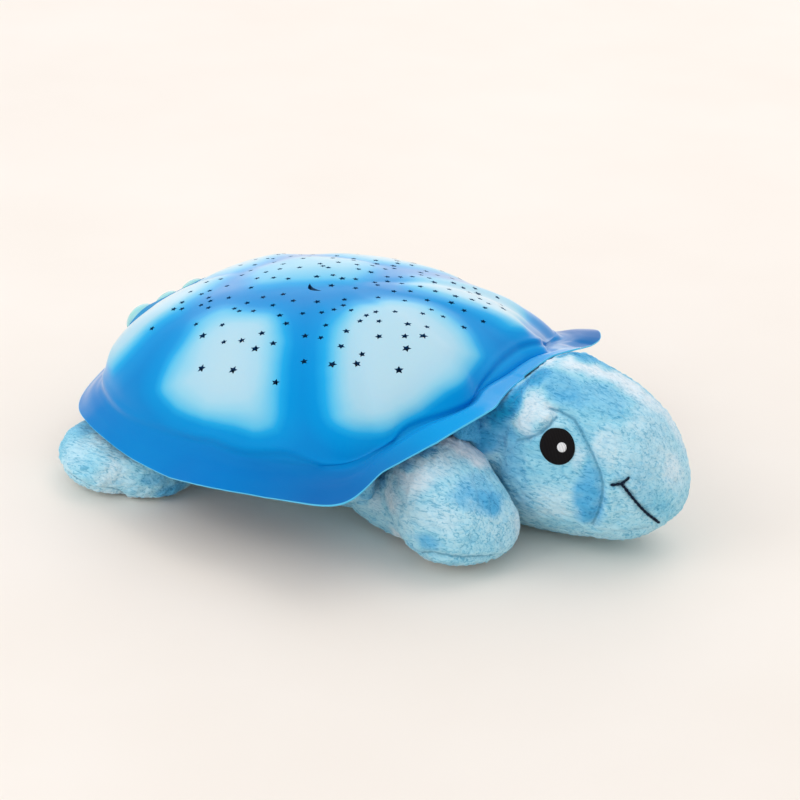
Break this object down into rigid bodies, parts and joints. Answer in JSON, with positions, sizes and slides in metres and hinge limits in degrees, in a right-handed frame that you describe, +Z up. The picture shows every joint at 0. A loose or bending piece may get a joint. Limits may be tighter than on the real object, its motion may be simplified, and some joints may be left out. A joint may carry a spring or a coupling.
{
  "type": "star night light projector",
  "caption": "Plush sea turtle night light: a translucent dome with star and moon holes over a lamp base, rear colour buttons, stuffed head and flippers.",
  "frame": {"origin": "on the table, at the middle of the length and of the width", "axes": "+X towards the nose, -Y to the turtle's right side, +Z up"},
  "size_m": [0.344, 0.2546, 0.102],
  "materials": {
    "translucent_shell": "translucent airbrushed",
    "panel_blue": "satin",
    "button_teal": "translucent gloss",
    "white_plastic": "matte",
    "dark_plastic": "matte",
    "circuit_board": "solder mask",
    "screw_steel": "zinc plated",
    "contact_steel": "nickel plated",
    "cell_jacket": "gloss",
    "lamp_amber": "tinted",
    "lamp_green": "tinted",
    "lamp_blue": "tinted",
    "lead_jacket": "matte",
    "plush": "short pile",
    "eye_thread": "dense stitching"
  },
  "bodies": {
    "base": {"shell": "translucent_shell", "control_panel": "panel_blue", "panel_cover": "white_plastic", "panel_screws": "screw_steel", "switch_board": "circuit_board", "tact_switches": "dark_plastic", "base_housing": "white_plastic", "case_screws": "screw_steel", "cells": "cell_jacket", "battery_contacts": "contact_steel", "battery_springs": "contact_steel", "tray": "white_plastic", "shell_screws": "screw_steel", "lamp_board": "circuit_board", "board_screws": "screw_steel", "lamp_holder": "white_plastic", "lamp_amber": "lamp_amber", "lamp_green": "lamp_green", "lamp_blue": "lamp_blue", "timer_chip": "dark_plastic", "panel_leads": "lead_jacket", "battery_leads": "lead_jacket", "torso": "plush"},
    "button_left": {"button_left": "button_teal", "plunger_left": "white_plastic"},
    "button_centre": {"button_centre": "button_teal", "plunger_centre": "white_plastic"},
    "button_right": {"button_right": "button_teal", "plunger_right": "white_plastic"},
    "battery_door": {"battery_door": "white_plastic"},
    "door_screw": {"door_screw": "screw_steel"},
    "head": {"head": "plush", "eye_right": "eye_thread", "eye_left": "eye_thread"},
    "fore_flipper_right": {"fore_flipper_right": "plush"},
    "fore_flipper_left": {"fore_flipper_left": "plush"},
    "hind_flipper_right": {"hind_flipper_right": "plush"},
    "hind_flipper_left": {"hind_flipper_left": "plush"}
  },
  "joints": [
    {"name": "button_left_press", "type": "slide", "parent": "base", "child": "button_left", "axis": [0.8618, 0, -0.5072], "range_m": [0, 0.0012], "stiffness_N_per_m": 400, "springref_m": -0.001},
    {"name": "button_centre_press", "type": "slide", "parent": "base", "child": "button_centre", "axis": [0.8618, 0, -0.5072], "range_m": [0, 0.0012], "stiffness_N_per_m": 400, "springref_m": -0.001},
    {"name": "button_right_press", "type": "slide", "parent": "base", "child": "button_right", "axis": [0.8618, 0, -0.5072], "range_m": [0, 0.0012], "stiffness_N_per_m": 400, "springref_m": -0.001},
    {"name": "battery_door_hinge", "type": "hinge", "parent": "base", "child": "battery_door", "pos_m": [-0.06635, 0, 0.0015], "axis": [0, 1, 0], "range_deg": [0, 85]},
    {"name": "door_screw_turn", "type": "hinge", "parent": "battery_door", "child": "door_screw", "pos_m": [-0.00775, 0, 0], "axis": [0, 0, 1], "continuous": true},
    {"name": "neck_swing", "type": "hinge", "parent": "base", "child": "head", "pos_m": [0.073, 0, 0.02], "axis": [0, 0, 1], "range_deg": [-5, 5], "stiffness_Nm_per_rad": 0.25},
    {"name": "fore_flipper_right_swing", "type": "hinge", "parent": "base", "child": "fore_flipper_right", "pos_m": [0.043, -0.047, 0.02], "axis": [0, 0, 1], "range_deg": [-15, 0], "stiffness_Nm_per_rad": 0.06},
    {"name": "fore_flipper_left_swing", "type": "hinge", "parent": "base", "child": "fore_flipper_left", "pos_m": [0.043, 0.047, 0.02], "axis": [0, 0, 1], "range_deg": [0, 15], "stiffness_Nm_per_rad": 0.06},
    {"name": "hind_flipper_right_swing", "type": "hinge", "parent": "base", "child": "hind_flipper_right", "pos_m": [-0.102, -0.082, 0.02], "axis": [0, 0, 1], "range_deg": [-3, 15], "stiffness_Nm_per_rad": 0.06},
    {"name": "hind_flipper_left_swing", "type": "hinge", "parent": "base", "child": "hind_flipper_left", "pos_m": [-0.102, 0.082, 0.02], "axis": [0, 0, 1], "range_deg": [-15, 3], "stiffness_Nm_per_rad": 0.06}
  ]
}
